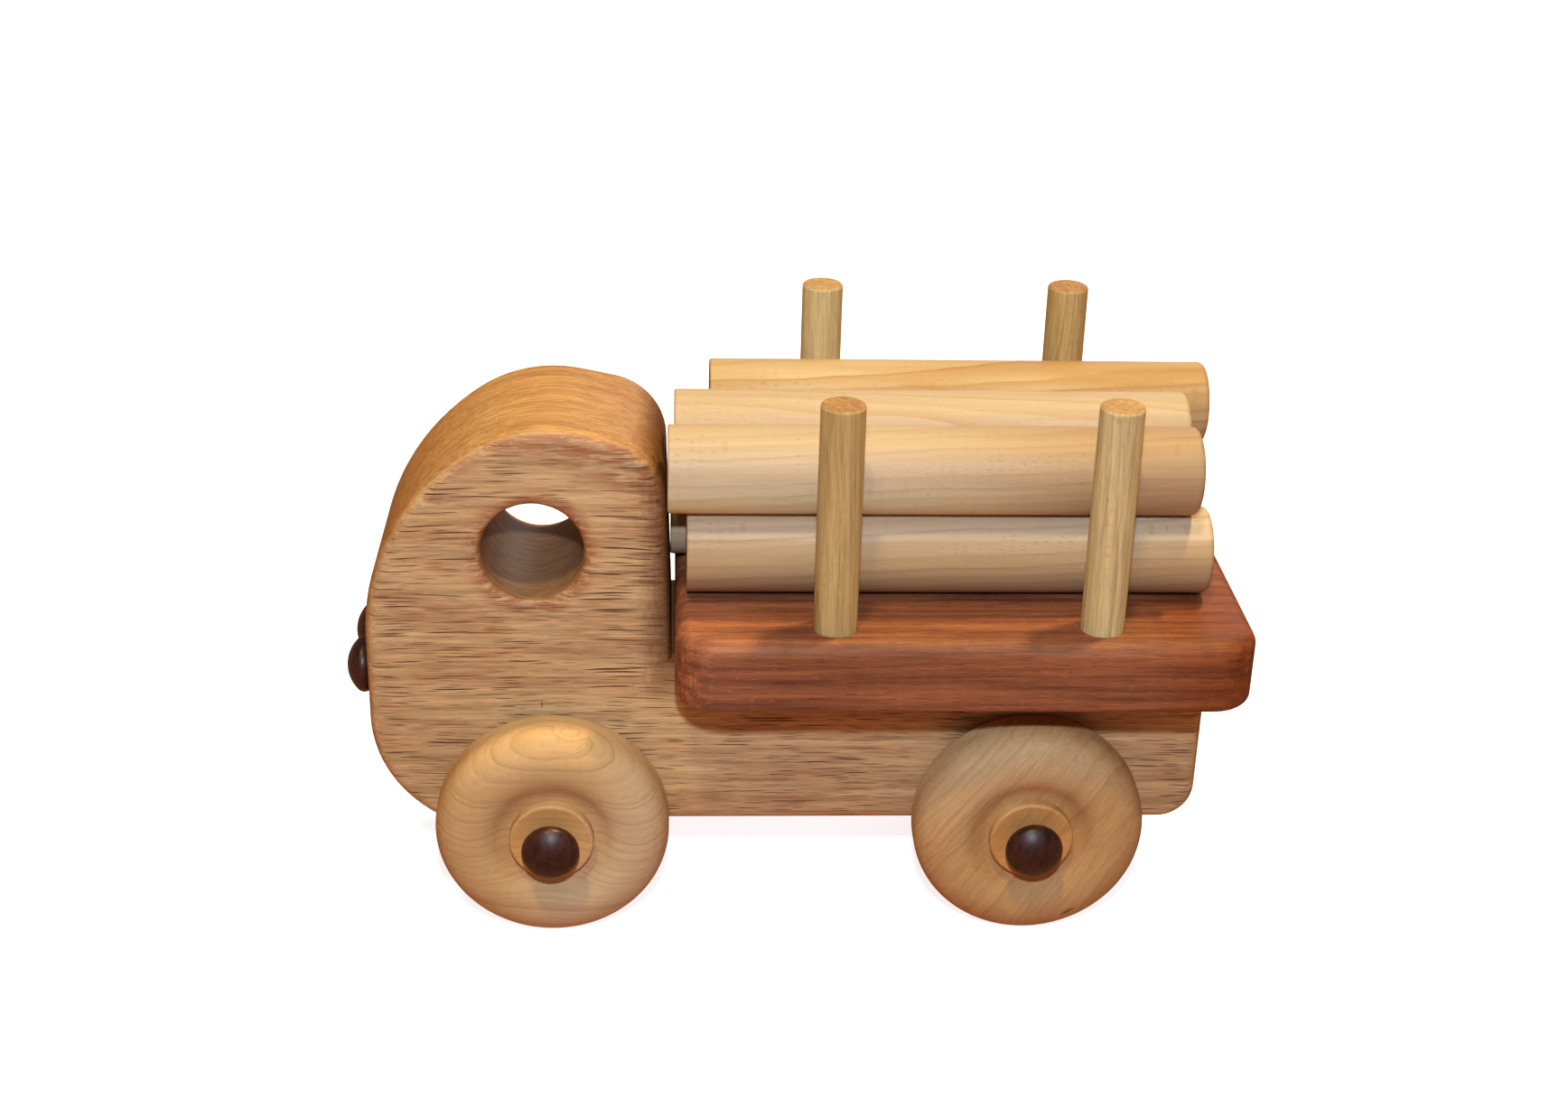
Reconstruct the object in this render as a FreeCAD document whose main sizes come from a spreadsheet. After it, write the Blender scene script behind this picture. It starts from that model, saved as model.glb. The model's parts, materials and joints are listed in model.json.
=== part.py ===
"""Wooden toy log truck: oak cab and chassis block, flat bed, stakes, logs, wheels on ball-head pegs.

Frame: +X towards the cab's front, +Y to the truck's left, +Z up, millimetres.
Origin: centre of the bounding box's bottom face, on the floor between the wheels.
"""
import FreeCAD, Part
import math
import os
import Sketcher

Vector = FreeCAD.Vector

# Driving dimensions in millimetres, copied into the spreadsheet.
DIMENSIONS = {
    # wheels
    "wheel_radius": 35.3,
    "wheel_width": 18.0,
    "wheel_bore_radius": 2.83,
    "wheel_inner_round": 3.5,
    "wheel_tread_top": 8.5,
    "wheel_shoulder_radius": 8.5,
    "wheel_crest_radius": 12.0,
    "wheel_cove_radius": 8.0,
    "boss_radius": 12.7,
    "boss_wall_top": 16.9,
    "boss_lip_radius": 0.8,
    "boss_dish_floor": 15.9,
    "wheel_side_gap": 1.3,
    "front_axle_offset": 71.5,
    "wheelbase": 145.2,
    # ball-head pegs, used as axles and as headlights
    "peg_radius": 2.75,
    "peg_inner_end": 4.0,
    "peg_head_gap": 2.6,
    "peg_head_depth": 7.8,
    "peg_dome_radius": 11.0,
    "peg_heel_radius": 2.6,
    "headlight_shank": 18.0,
    "headlight_hole_depth": 19.0,
    "headlight_spacing": 23.2,
    "headlight_height": 77.3,
    # cab and chassis block
    "block_width": 56.0,
    "chassis_bottom": 30.8,
    "deck_height": 86.5,
    "chassis_rear": 127.3,
    "chassis_rear_round": 11.0,
    "cab_front": 126.4,
    "cab_back": 35.6,
    "cab_top": 161.0,
    "nose_low": 66.0,
    "nose_high": 93.5,
    "brow_radius": 73.0,
    "crown_radius": 40.5,
    "nape_radius": 20.0,
    "nape_offset": 57.4,
    "nape_height": 138.5,
    "chin_radius": 40.0,
    "chin_round": 14.0,
    "block_edge_round": 4.0,
    "window_radius": 15.1,
    "window_offset": 76.4,
    "window_height": 122.1,
    "window_edge_round": 3.2,
    # bed
    "bed_front": 34.6,
    "bed_width": 120.0,
    "bed_thickness": 22.5,
    "bed_corner_radius": 13.0,
    "bed_top_round": 4.5,
    "bed_bottom_round": 2.5,
    # stakes
    "stake_radius": 6.35,
    "stake_hole_radius": 6.5,
    "stake_hole_depth": 16.0,
    "stake_height_left": 69.0,
    "stake_height_right": 71.0,
    "stake_spread": 97.0,
    "stake_front_offset": 11.3,
    "stake_rear_offset": 88.7,
    "stake_end_round": 1.0,
    # logs: the gap is from the top of the cab's back wall to the log's front end, and the shift
    # is how far the upper left log has rolled outwards
    "log_radius": 12.9,
    "log_length": 154.3,
    "log_front_round": 0.7,
    "log_rear_round": 1.8,
    "log_clearance": 0.3,
    "left_log_offset": 23.25,
    "upper_left_shift": 1.75,
    "lower_left_gap": 6.0,
    "lower_middle_gap": 1.3,
    "lower_right_gap": 1.3,
    "upper_left_gap": 0.4,
    "upper_middle_gap": 2.3,
    "upper_right_gap": 13.2,
    # hidden glue dowels between the bed and the chassis
    "dowel_radius": 4.0,
    "dowel_length": 23.0,
    "dowel_above_deck": 11.0,
    "dowel_hole_in_deck": 12.5,
    "dowel_hole_in_bed": 11.5,
    "dowel_front_offset": 8.0,
    "dowel_rear_offset": 108.0,
}

SIDES = [("left", 1), ("right", -1)]
ENDS = ["front", "rear"]
AXLE_X = {"front": "dims.front_axle_offset", "rear": "dims.front_axle_offset - dims.wheelbase"}
STAKE_X = {"front": "-dims.stake_front_offset", "rear": "-dims.stake_rear_offset"}
DOWEL_X = {"front": "dims.dowel_front_offset", "rear": "-dims.dowel_rear_offset"}
LOG_COLUMNS = ["left", "middle", "right"]
BED_REAR = "-dims.cab_front - dims.peg_head_depth"
BED_TOP = "dims.deck_height + dims.bed_thickness"
BACK_WALL_TOP = "dims.nape_offset - dims.nape_radius"
FACING_LEFT = FreeCAD.Rotation()
FACING_RIGHT = FreeCAD.Rotation(Vector(0, 0, 1), 180)

doc = FreeCAD.newDocument("toy_log_truck")
sheet = doc.addObject("Spreadsheet::Sheet", "dims")
parts = []


# ---------------------------------------------------------------- sheet, sketch and feature helpers

def fill_sheet():
    for row, (name, value) in enumerate(DIMENSIONS.items(), start=1):
        sheet.set("A%d" % row, name)
        sheet.set("B%d" % row, str(value))
        sheet.setAlias("B%d" % row, name)
    doc.recompute()


def size(name):
    return float(sheet.get(name))


def new_body(label):
    body = doc.addObject("PartDesign::Body", label)
    body.Label = label
    parts.append(body)
    return body


def new_sketch(body, name, role, offset_expression=None):
    """A sketch on one of the body's own planes, moved along the plane's normal if asked."""
    sketch = body.newObject("Sketcher::SketchObject", name)
    plane = next(item for item in body.Origin.OriginFeatures if item.Role == role)
    sketch.AttachmentSupport = (plane, [""])
    sketch.MapMode = "FlatFace"
    if offset_expression:
        sketch.setExpression("AttachmentOffset.Base.z", offset_expression)
    return sketch


def dimension(sketch, kind, arguments, name, expression):
    """A named driving constraint bound to the sheet."""
    index = sketch.addConstraint(Sketcher.Constraint(kind, *arguments))
    sketch.renameConstraint(index, name)
    sketch.setExpression("Constraints." + name, expression)


def point_on(sketch, name, geometry, position, x=None, y=None):
    """Places a point by (approximate value, expression) pairs from the sketch's origin."""
    if x:
        dimension(sketch, "DistanceX", (-1, 1, geometry, position, x[0]), name + "_x", x[1])
    if y:
        dimension(sketch, "DistanceY", (-1, 1, geometry, position, y[0]), name + "_y", y[1])


def draw_outline(sketch, edges):
    """Draws a closed outline, counter-clockwise. Each edge is (start, centre or None, joint),
    where joint says how it meets the edge before it. Returns (geometry, start, end) triples."""
    drawn = []
    for number, (start, centre, joint) in enumerate(edges):
        end = edges[(number + 1) % len(edges)][0]
        if centre is None:
            index = sketch.addGeometry(Part.LineSegment(start, end))
            drawn.append((index, 1, 2))
            continue
        turns_left = (start - centre).cross(end - centre).z > 0
        low, high = (start, end) if turns_left else (end, start)
        angles = [math.atan2((p - centre).y, (p - centre).x) for p in (low, high)]
        circle = Part.Circle(centre, Vector(0, 0, 1), (start - centre).Length)
        index = sketch.addGeometry(Part.ArcOfCircle(circle, angles[0], angles[1]))
        drawn.append((index, 1, 2) if turns_left else (index, 2, 1))
    for number, (start, centre, joint) in enumerate(edges):
        before = drawn[number - 1]
        here = drawn[number]
        sketch.addConstraint(Sketcher.Constraint(joint, before[0], before[2], here[0], here[1]))
    return drawn


def level(sketch, *lines):
    for line in lines:
        sketch.addConstraint(Sketcher.Constraint("Horizontal", line[0]))


def upright(sketch, *lines):
    for line in lines:
        sketch.addConstraint(Sketcher.Constraint("Vertical", line[0]))


def radius_of(sketch, arc, name):
    dimension(sketch, "Radius", (arc[0], size(name)), name, "dims." + name)


def add_circle(sketch, name, radius_name, x=(0.0, None), y=(0.0, None)):
    """A circle whose centre is placed by (approximate value, expression) pairs, or on an axis."""
    circle = Part.Circle(Vector(x[0], y[0], 0), Vector(0, 0, 1), size(radius_name))
    index = sketch.addGeometry(circle)
    dimension(sketch, "Radius", (index, size(radius_name)), name + "_radius", "dims." + radius_name)
    if x[1]:
        point_on(sketch, name, index, 3, x=x)
    else:
        sketch.addConstraint(Sketcher.Constraint("PointOnObject", index, 3, -2))
    if y[1]:
        point_on(sketch, name, index, 3, y=y)
    else:
        sketch.addConstraint(Sketcher.Constraint("PointOnObject", index, 3, -1))


def extrude(body, kind, name, sketch, length_expression=None, through=False, symmetric=False,
            reverse=False):
    """A Pad or Pocket; a pocket must take material away."""
    doc.recompute()
    before = body.Shape.Volume if kind == "Pocket" else 0.0
    feature = body.newObject("PartDesign::" + kind, name)
    feature.Profile = sketch
    feature.Reversed = reverse
    if symmetric:
        feature.SideType = "Symmetric"
    if through:
        feature.Type = "ThroughAll"
    else:
        feature.Length = 1.0
        feature.setExpression("Length", length_expression)
    doc.recompute()
    if kind == "Pocket" and body.Shape.Volume > before - 1.0:
        raise RuntimeError(body.Label + " " + name + " cuts nothing")
    return feature


def turn(body, name, sketch):
    """A solid of revolution about the sketch's upright axis."""
    feature = body.newObject("PartDesign::Revolution", name)
    feature.Profile = sketch
    feature.ReferenceAxis = (sketch, ["V_Axis"])
    feature.Angle = 360.0
    doc.recompute()
    return feature


def round_edges(body, base, name, radius_expression, test):
    """Rounds the edges of the base feature whose middle point passes the test."""
    names = []
    for number, edge in enumerate(base.Shape.Edges, start=1):
        if test(edge.valueAt((edge.FirstParameter + edge.LastParameter) / 2)):
            names.append("Edge%d" % number)
    feature = body.newObject("PartDesign::Fillet", name)
    feature.Base = (base, names)
    feature.Radius = 0.5
    feature.setExpression("Radius", radius_expression)
    doc.recompute()
    return feature


def place(body, x_expression, y_expression, z_expression, rotation=FACING_LEFT):
    body.Placement = FreeCAD.Placement(Vector(0, 0, 0), rotation)
    body.setExpression(".Placement.Base.x", x_expression)
    body.setExpression(".Placement.Base.y", y_expression)
    body.setExpression(".Placement.Base.z", z_expression)


def near(value, target):
    return abs(value - target) < 0.01


def inner_touch(big_centre, big_radius, small_radius, small_y, side):
    """Centre, at height small_y, of a circle that touches a bigger one from inside."""
    rise = small_y - big_centre.y
    run = math.sqrt((big_radius - small_radius) ** 2 - rise ** 2)
    return Vector(big_centre.x + side * run, small_y, 0)


def touch_point(big_centre, big_radius, small_centre):
    direction = small_centre - big_centre
    return big_centre + direction * (big_radius / direction.Length)


def shared_normal(first_centre, first_radius, second_centre, second_radius):
    """Right-hand normal of the line that touches two circles on the right of the way from the
    first to the second; outwards where an outline runs counter-clockwise."""
    towards = second_centre - first_centre
    lean = math.asin((first_radius - second_radius) / towards.Length)
    angle = math.atan2(towards.y, towards.x) - math.pi / 2 + lean
    return Vector(math.cos(angle), math.sin(angle), 0)


# ---------------------------------------------------------------- cab and chassis block

def block_outline(sketch):
    """Side view: straight nose between two long curves, roof that falls towards the cab's back,
    back wall that leans forwards, step for the bed."""
    bottom = size("chassis_bottom")
    front = size("cab_front")
    top = size("cab_top")
    back = size("cab_back")
    deck = size("deck_height")
    rear = -size("chassis_rear")
    rear_round = size("chassis_rear_round")
    chin = size("chin_radius")
    brow = size("brow_radius")
    crown = size("crown_radius")
    nape = size("nape_radius")
    chin_centre = Vector(front - chin, size("nose_low"), 0)
    chin_small = inner_touch(chin_centre, chin, size("chin_round"), bottom + size("chin_round"), 1)
    brow_centre = Vector(front - brow, size("nose_high"), 0)
    crown_centre = inner_touch(brow_centre, brow, crown, top - crown, 1)
    nape_centre = Vector(size("nape_offset"), size("nape_height"), 0)
    roof_normal = shared_normal(crown_centre, crown, nape_centre, nape)
    wall_foot = Vector(back, deck, 0)
    wall_normal = shared_normal(nape_centre, nape, wall_foot, 0.0)
    rear_centre = Vector(rear + rear_round, bottom + rear_round, 0)
    edges = draw_outline(sketch, [
        (Vector(rear_centre.x, bottom, 0), None, "Tangent"),
        (Vector(chin_small.x, bottom, 0), chin_small, "Tangent"),
        (touch_point(chin_centre, chin, chin_small), chin_centre, "Tangent"),
        (Vector(front, chin_centre.y, 0), None, "Tangent"),
        (Vector(front, brow_centre.y, 0), brow_centre, "Tangent"),
        (touch_point(brow_centre, brow, crown_centre), crown_centre, "Tangent"),
        (crown_centre + roof_normal * crown, None, "Tangent"),
        (nape_centre + roof_normal * nape, nape_centre, "Tangent"),
        (nape_centre + wall_normal * nape, None, "Tangent"),
        (wall_foot, None, "Coincident"),
        (Vector(rear, deck, 0), None, "Coincident"),
        (Vector(rear, rear_centre.y, 0), rear_centre, "Tangent"),
    ])
    (sill, chin_low, chin_high, nose, brow_arc, crown_arc, _, nape_arc, back_wall, deck_line,
     rear_wall, rear_arc) = edges
    level(sketch, sill, deck_line)
    upright(sketch, nose, rear_wall)
    radius_of(sketch, chin_low, "chin_round")
    radius_of(sketch, chin_high, "chin_radius")
    radius_of(sketch, brow_arc, "brow_radius")
    radius_of(sketch, crown_arc, "crown_radius")
    radius_of(sketch, nape_arc, "nape_radius")
    radius_of(sketch, rear_arc, "chassis_rear_round")
    point_on(sketch, "sill", sill[0], 1, y=(bottom, "dims.chassis_bottom"))
    point_on(sketch, "nose_low", nose[0], 1, x=(front, "dims.cab_front"),
             y=(chin_centre.y, "dims.nose_low"))
    point_on(sketch, "nose_high", nose[0], 2, y=(brow_centre.y, "dims.nose_high"))
    point_on(sketch, "crown_centre", crown_arc[0], 3,
             y=(crown_centre.y, "dims.cab_top - dims.crown_radius"))
    point_on(sketch, "nape_centre", nape_arc[0], 3, x=(nape_centre.x, "dims.nape_offset"),
             y=(nape_centre.y, "dims.nape_height"))
    point_on(sketch, "back", back_wall[0], 2, x=(back, "dims.cab_back"), y=(deck, "dims.deck_height"))
    point_on(sketch, "rear", rear_wall[0], 1, x=(rear, "-dims.chassis_rear"))


def make_block():
    body = new_body("cab_chassis_block")
    outline = new_sketch(body, "block_outline", "XZ_Plane")
    block_outline(outline)
    pad = extrude(body, "Pad", "block", outline, "dims.block_width", symmetric=True)

    half = size("block_width") / 2
    deck = size("deck_height")

    def on_side_above_or_outside_deck(middle):
        return near(abs(middle.y), half) and not near(middle.z, deck)

    round_edges(body, pad, "side_rounds", "dims.block_edge_round", on_side_above_or_outside_deck)

    window = new_sketch(body, "window_circle", "XZ_Plane")
    add_circle(window, "window", "window_radius", (size("window_offset"), "dims.window_offset"),
               (size("window_height"), "dims.window_height"))
    window_cut = extrude(body, "Pocket", "window", window, through=True, symmetric=True)

    window_centre = Vector(size("window_offset"), half, size("window_height"))
    window_reach = size("window_radius") + 0.01

    def on_window_rim(middle):
        offset = Vector(middle.x, half, middle.z) - window_centre
        return near(abs(middle.y), half) and offset.Length < window_reach

    round_edges(body, window_cut, "window_rounds", "dims.window_edge_round", on_window_rim)

    for end in ENDS:
        axle = new_sketch(body, end + "_axle_circle", "XZ_Plane")
        axle_x = size("front_axle_offset") - (size("wheelbase") if end == "rear" else 0.0)
        add_circle(axle, "axle", "peg_radius", (axle_x, AXLE_X[end]),
                   (size("wheel_radius"), "dims.wheel_radius"))
        extrude(body, "Pocket", end + "_axle_hole", axle, through=True, symmetric=True)

    lights = new_sketch(body, "headlight_circles", "YZ_Plane", "dims.cab_front")
    for side, sign in SIDES:
        spread = (sign * size("headlight_spacing") / 2, "%d * dims.headlight_spacing / 2" % sign)
        add_circle(lights, side, "peg_radius", spread,
                   (size("headlight_height"), "dims.headlight_height"))
    extrude(body, "Pocket", "headlight_holes", lights, "dims.headlight_hole_depth")

    dowels = new_sketch(body, "dowel_circles", "XY_Plane", "dims.deck_height")
    for end, offset in (("front", size("dowel_front_offset")), ("rear", -size("dowel_rear_offset"))):
        add_circle(dowels, end, "dowel_radius", (offset, DOWEL_X[end]))
    extrude(body, "Pocket", "dowel_holes", dowels, "dims.dowel_hole_in_deck")


# ---------------------------------------------------------------- bed and its hidden dowels

def make_bed():
    body = new_body("flat_bed")
    front = size("bed_front")
    rear = -size("cab_front") - size("peg_head_depth")
    half = size("bed_width") / 2
    plan = new_sketch(body, "bed_plan", "XY_Plane")
    rear_edge, right_edge, front_edge, left_edge = draw_outline(plan, [
        (Vector(rear, half, 0), None, "Coincident"),
        (Vector(rear, -half, 0), None, "Coincident"),
        (Vector(front, -half, 0), None, "Coincident"),
        (Vector(front, half, 0), None, "Coincident"),
    ])
    level(plan, right_edge, left_edge)
    upright(plan, rear_edge, front_edge)
    point_on(plan, "rear_left", rear_edge[0], 1, (rear, BED_REAR), (half, "dims.bed_width / 2"))
    point_on(plan, "front_right", front_edge[0], 1, (front, "dims.bed_front"),
             (-half, "-dims.bed_width / 2"))
    pad = extrude(body, "Pad", "slab", plan, "dims.bed_thickness")
    thickness = size("bed_thickness")
    corners = round_edges(body, pad, "corner_rounds", "dims.bed_corner_radius",
                          lambda middle: near(middle.z, thickness / 2))
    top = round_edges(body, corners, "top_rounds", "dims.bed_top_round",
                      lambda middle: near(middle.z, thickness))
    round_edges(body, top, "bottom_rounds", "dims.bed_bottom_round",
                lambda middle: near(middle.z, 0.0))

    stakes = new_sketch(body, "stake_circles", "XY_Plane", "dims.bed_thickness")
    for end in ENDS:
        for side, sign in SIDES:
            add_circle(stakes, end + "_" + side, "stake_hole_radius",
                       (-size("stake_" + end + "_offset"), STAKE_X[end]),
                       (sign * size("stake_spread") / 2, "%d * dims.stake_spread / 2" % sign))
    extrude(body, "Pocket", "stake_holes", stakes, "dims.stake_hole_depth")

    dowels = new_sketch(body, "dowel_circles", "XY_Plane")
    for end, offset in (("front", size("dowel_front_offset")), ("rear", -size("dowel_rear_offset"))):
        add_circle(dowels, end, "dowel_radius", (offset, DOWEL_X[end]))
    extrude(body, "Pocket", "dowel_holes", dowels, "dims.dowel_hole_in_bed", reverse=True)
    place(body, "0", "0", "dims.deck_height")


def make_dowel(end):
    body = new_body("bed_dowel_" + end)
    circle = new_sketch(body, "section", "XY_Plane")
    add_circle(circle, "dowel", "dowel_radius")
    extrude(body, "Pad", "dowel", circle, "dims.dowel_length")
    place(body, DOWEL_X[end], "0", "dims.deck_height + dims.dowel_above_deck - dims.dowel_length")


# ---------------------------------------------------------------- stakes and logs

def make_stake(end, side, sign):
    body = new_body("stake_" + end + "_" + side)
    height = "dims.stake_height_" + side
    circle = new_sketch(body, "section", "XY_Plane")
    add_circle(circle, "stake", "stake_radius")
    rod = extrude(body, "Pad", "rod", circle, "dims.stake_hole_depth + " + height)
    length = size("stake_hole_depth") + size("stake_height_" + side)
    round_edges(body, rod, "end_rounds", "dims.stake_end_round",
                lambda middle: near(middle.z, 0.0) or near(middle.z, length))
    place(body, STAKE_X[end], "%d * dims.stake_spread / 2" % sign,
          BED_TOP + " - dims.stake_hole_depth")


def make_log(row, column):
    """A log lying along X, its front end facing the cab's back."""
    name = row + "_" + LOG_COLUMNS[column]
    body = new_body("log_" + name)
    circle = new_sketch(body, "section", "YZ_Plane")
    add_circle(circle, "log", "log_radius")
    rod = extrude(body, "Pad", "rod", circle, "dims.log_length")
    length = size("log_length")
    front = round_edges(body, rod, "front_rounds", "dims.log_front_round",
                        lambda middle: near(middle.x, length))
    round_edges(body, front, "rear_rounds", "dims.log_rear_round",
                lambda middle: near(middle.x, 0.0))
    pitch = "(2 * dims.log_radius + dims.log_clearance)"
    across = "dims.left_log_offset - %d * " % column + pitch
    height = BED_TOP + " + dims.log_clearance + dims.log_radius"
    if name == "upper_left":
        across += " + dims.upper_left_shift"
        height += " + sqrt(" + pitch + "^2 - dims.upper_left_shift^2)"
    elif row == "upper":
        height += " + " + pitch
    place(body, BACK_WALL_TOP + " - dims.log_length - dims." + name + "_gap", across, height)


# ---------------------------------------------------------------- wheels and pegs

def wheel_outline(sketch):
    """Half section: x is the radius, y the distance outwards from the wheel's inner face."""
    bore = size("wheel_bore_radius")
    rim = size("wheel_radius")
    inner = size("wheel_inner_round")
    tread_top = size("wheel_tread_top")
    shoulder = size("wheel_shoulder_radius")
    crest = size("wheel_crest_radius")
    cove = size("wheel_cove_radius")
    boss = size("boss_radius")
    lip = size("boss_lip_radius")
    wall_top = size("boss_wall_top")
    shoulder_centre = Vector(rim - shoulder, tread_top, 0)
    crest_y = size("wheel_width") - crest
    crest_run = math.sqrt((crest - shoulder) ** 2 - (tread_top - crest_y) ** 2)
    crest_centre = Vector(shoulder_centre.x - crest_run, crest_y, 0)
    cove_rise = math.sqrt((crest + cove) ** 2 - (crest_centre.x - boss) ** 2)
    cove_centre = Vector(boss, crest_y + cove_rise, 0)
    lip_centre = Vector(boss - lip, wall_top, 0)
    lip_top = Vector(lip_centre.x, wall_top + lip, 0)
    edges = draw_outline(sketch, [
        (Vector(bore, 0, 0), None, "Coincident"),
        (Vector(rim - inner, 0, 0), Vector(rim - inner, inner, 0), "Tangent"),
        (Vector(rim, inner, 0), None, "Tangent"),
        (Vector(rim, tread_top, 0), shoulder_centre, "Tangent"),
        (touch_point(crest_centre, crest, shoulder_centre), crest_centre, "Tangent"),
        (touch_point(crest_centre, crest, cove_centre), cove_centre, "Tangent"),
        (Vector(boss, cove_centre.y - cove, 0), None, "Coincident"),
        (Vector(boss, wall_top, 0), lip_centre, "Tangent"),
        (lip_top, None, "Tangent"),
        (Vector(bore, size("boss_dish_floor"), 0), None, "Coincident"),
    ])
    (inner_face, inner_arc, tread, shoulder_arc, crest_arc, cove_arc, boss_wall, lip_arc, dish,
     bore_line) = edges
    level(sketch, inner_face)
    upright(sketch, tread, boss_wall, bore_line)
    radius_of(sketch, inner_arc, "wheel_inner_round")
    radius_of(sketch, shoulder_arc, "wheel_shoulder_radius")
    radius_of(sketch, crest_arc, "wheel_crest_radius")
    radius_of(sketch, cove_arc, "wheel_cove_radius")
    radius_of(sketch, lip_arc, "boss_lip_radius")
    sketch.addConstraint(Sketcher.Constraint("PointOnObject", inner_face[0], 1, -1))
    point_on(sketch, "bore", inner_face[0], 1, x=(bore, "dims.wheel_bore_radius"))
    point_on(sketch, "tread", tread[0], 2, (rim, "dims.wheel_radius"),
             (tread_top, "dims.wheel_tread_top"))
    point_on(sketch, "crest", crest_arc[0], 3, y=(crest_y, "dims.wheel_width - dims.wheel_crest_radius"))
    point_on(sketch, "cove", cove_arc[0], 3, x=(boss, "dims.boss_radius"))
    point_on(sketch, "boss", boss_wall[0], 2, (boss, "dims.boss_radius"),
             (wall_top, "dims.boss_wall_top"))
    point_on(sketch, "dish", dish[0], 2, y=(size("boss_dish_floor"), "dims.boss_dish_floor"))


def make_wheel(end, side, sign):
    body = new_body("wheel_" + end + "_" + side)
    section = new_sketch(body, "section", "XY_Plane")
    wheel_outline(section)
    turn(body, "turned", section)
    place(body, AXLE_X[end], "%d * (dims.block_width / 2 + dims.wheel_side_gap)" % sign,
          "dims.wheel_radius", FACING_LEFT if sign > 0 else FACING_RIGHT)


def peg_outline(sketch, shank, shank_expression):
    """Half section of a shank with a rounded ball head: x is the radius, y runs outwards."""
    radius = size("peg_radius")
    dome = size("peg_dome_radius")
    heel = size("peg_heel_radius")
    apex = shank + size("peg_head_depth")
    dome_centre = Vector(0, apex - dome, 0)
    heel_centre = inner_touch(dome_centre, dome, heel, shank + heel, 1)
    edges = draw_outline(sketch, [
        (Vector(0, 0, 0), None, "Coincident"),
        (Vector(radius, 0, 0), None, "Coincident"),
        (Vector(radius, shank, 0), None, "Coincident"),
        (Vector(heel_centre.x, shank, 0), heel_centre, "Tangent"),
        (touch_point(dome_centre, dome, heel_centre), dome_centre, "Tangent"),
        (Vector(0, apex, 0), None, "Coincident"),
    ])
    inner_end, shank_line, seat, heel_arc, dome_arc, axis_line = edges
    level(sketch, inner_end, seat)
    upright(sketch, shank_line, axis_line)
    radius_of(sketch, heel_arc, "peg_heel_radius")
    radius_of(sketch, dome_arc, "peg_dome_radius")
    sketch.addConstraint(Sketcher.Constraint("Coincident", inner_end[0], 1, -1, 1))
    sketch.addConstraint(Sketcher.Constraint("PointOnObject", dome_arc[0], 3, -2))
    point_on(sketch, "shank", shank_line[0], 2, (radius, "dims.peg_radius"), (shank, shank_expression))
    point_on(sketch, "apex", axis_line[0], 1, y=(apex, shank_expression + " + dims.peg_head_depth"))


def make_axle_peg(end, side, sign):
    body = new_body("axle_peg_" + end + "_" + side)
    section = new_sketch(body, "section", "XY_Plane")
    seat = "dims.block_width / 2 + dims.wheel_side_gap + dims.boss_wall_top + dims.boss_lip_radius"
    seat += " + dims.peg_head_gap"
    head_seat = size("block_width") / 2 + sum(size(name) for name in (
        "wheel_side_gap", "boss_wall_top", "boss_lip_radius", "peg_head_gap"))
    peg_outline(section, head_seat - size("peg_inner_end"), seat + " - dims.peg_inner_end")
    turn(body, "turned", section)
    place(body, AXLE_X[end], "%d * dims.peg_inner_end" % sign, "dims.wheel_radius",
          FACING_LEFT if sign > 0 else FACING_RIGHT)


def make_headlight(side, sign):
    body = new_body("headlight_peg_" + side)
    section = new_sketch(body, "section", "XY_Plane")
    peg_outline(section, size("headlight_shank"), "dims.headlight_shank")
    turn(body, "turned", section)
    facing_front = FreeCAD.Rotation(Vector(0, 0, 1), -90)
    place(body, "dims.cab_front - dims.headlight_shank", "%d * dims.headlight_spacing / 2" % sign,
          "dims.headlight_height", facing_front)


# ---------------------------------------------------------------- build, check and write

fill_sheet()
make_block()
make_bed()
for end_name in ENDS:
    make_dowel(end_name)
    for side_name, side_sign in SIDES:
        make_stake(end_name, side_name, side_sign)
        make_wheel(end_name, side_name, side_sign)
        make_axle_peg(end_name, side_name, side_sign)
for side_name, side_sign in SIDES:
    make_headlight(side_name, side_sign)
for row_name in ("lower", "upper"):
    for column_number in range(len(LOG_COLUMNS)):
        make_log(row_name, column_number)
doc.recompute()

for item in doc.Objects:
    if "Invalid" in item.State or "Error" in item.State:
        raise RuntimeError(item.Name + " failed: " + str(item.State))
for part in parts:
    if part.Shape.isNull() or not part.Shape.isValid() or len(part.Shape.Solids) != 1:
        raise RuntimeError(part.Label + " is not one valid solid")

os.makedirs("parts", exist_ok=True)
for part in parts:
    part.Shape.exportStep("parts/" + part.Label + ".step")
    box = part.Shape.BoundBox
    print("%-22s X %8.2f %8.2f  Y %7.2f %7.2f  Z %7.2f %7.2f" % (
        part.Label, box.XMin, box.XMax, box.YMin, box.YMax, box.ZMin, box.ZMax))
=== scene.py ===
"""Looks of a wooden toy log truck: wood, finish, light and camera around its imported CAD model.

Metres. +X points to the cab, +Z up, and +Y is the truck's left side, which the camera sees.
A tint multiplies a colour. A ramp is what Nodes.step takes: the values where it starts and ends,
and then what it gives there, if that isn't 0 and 1.
"""

import json
import math
from dataclasses import dataclass, replace
from functools import partial

import bpy
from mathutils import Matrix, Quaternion, Vector


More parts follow.
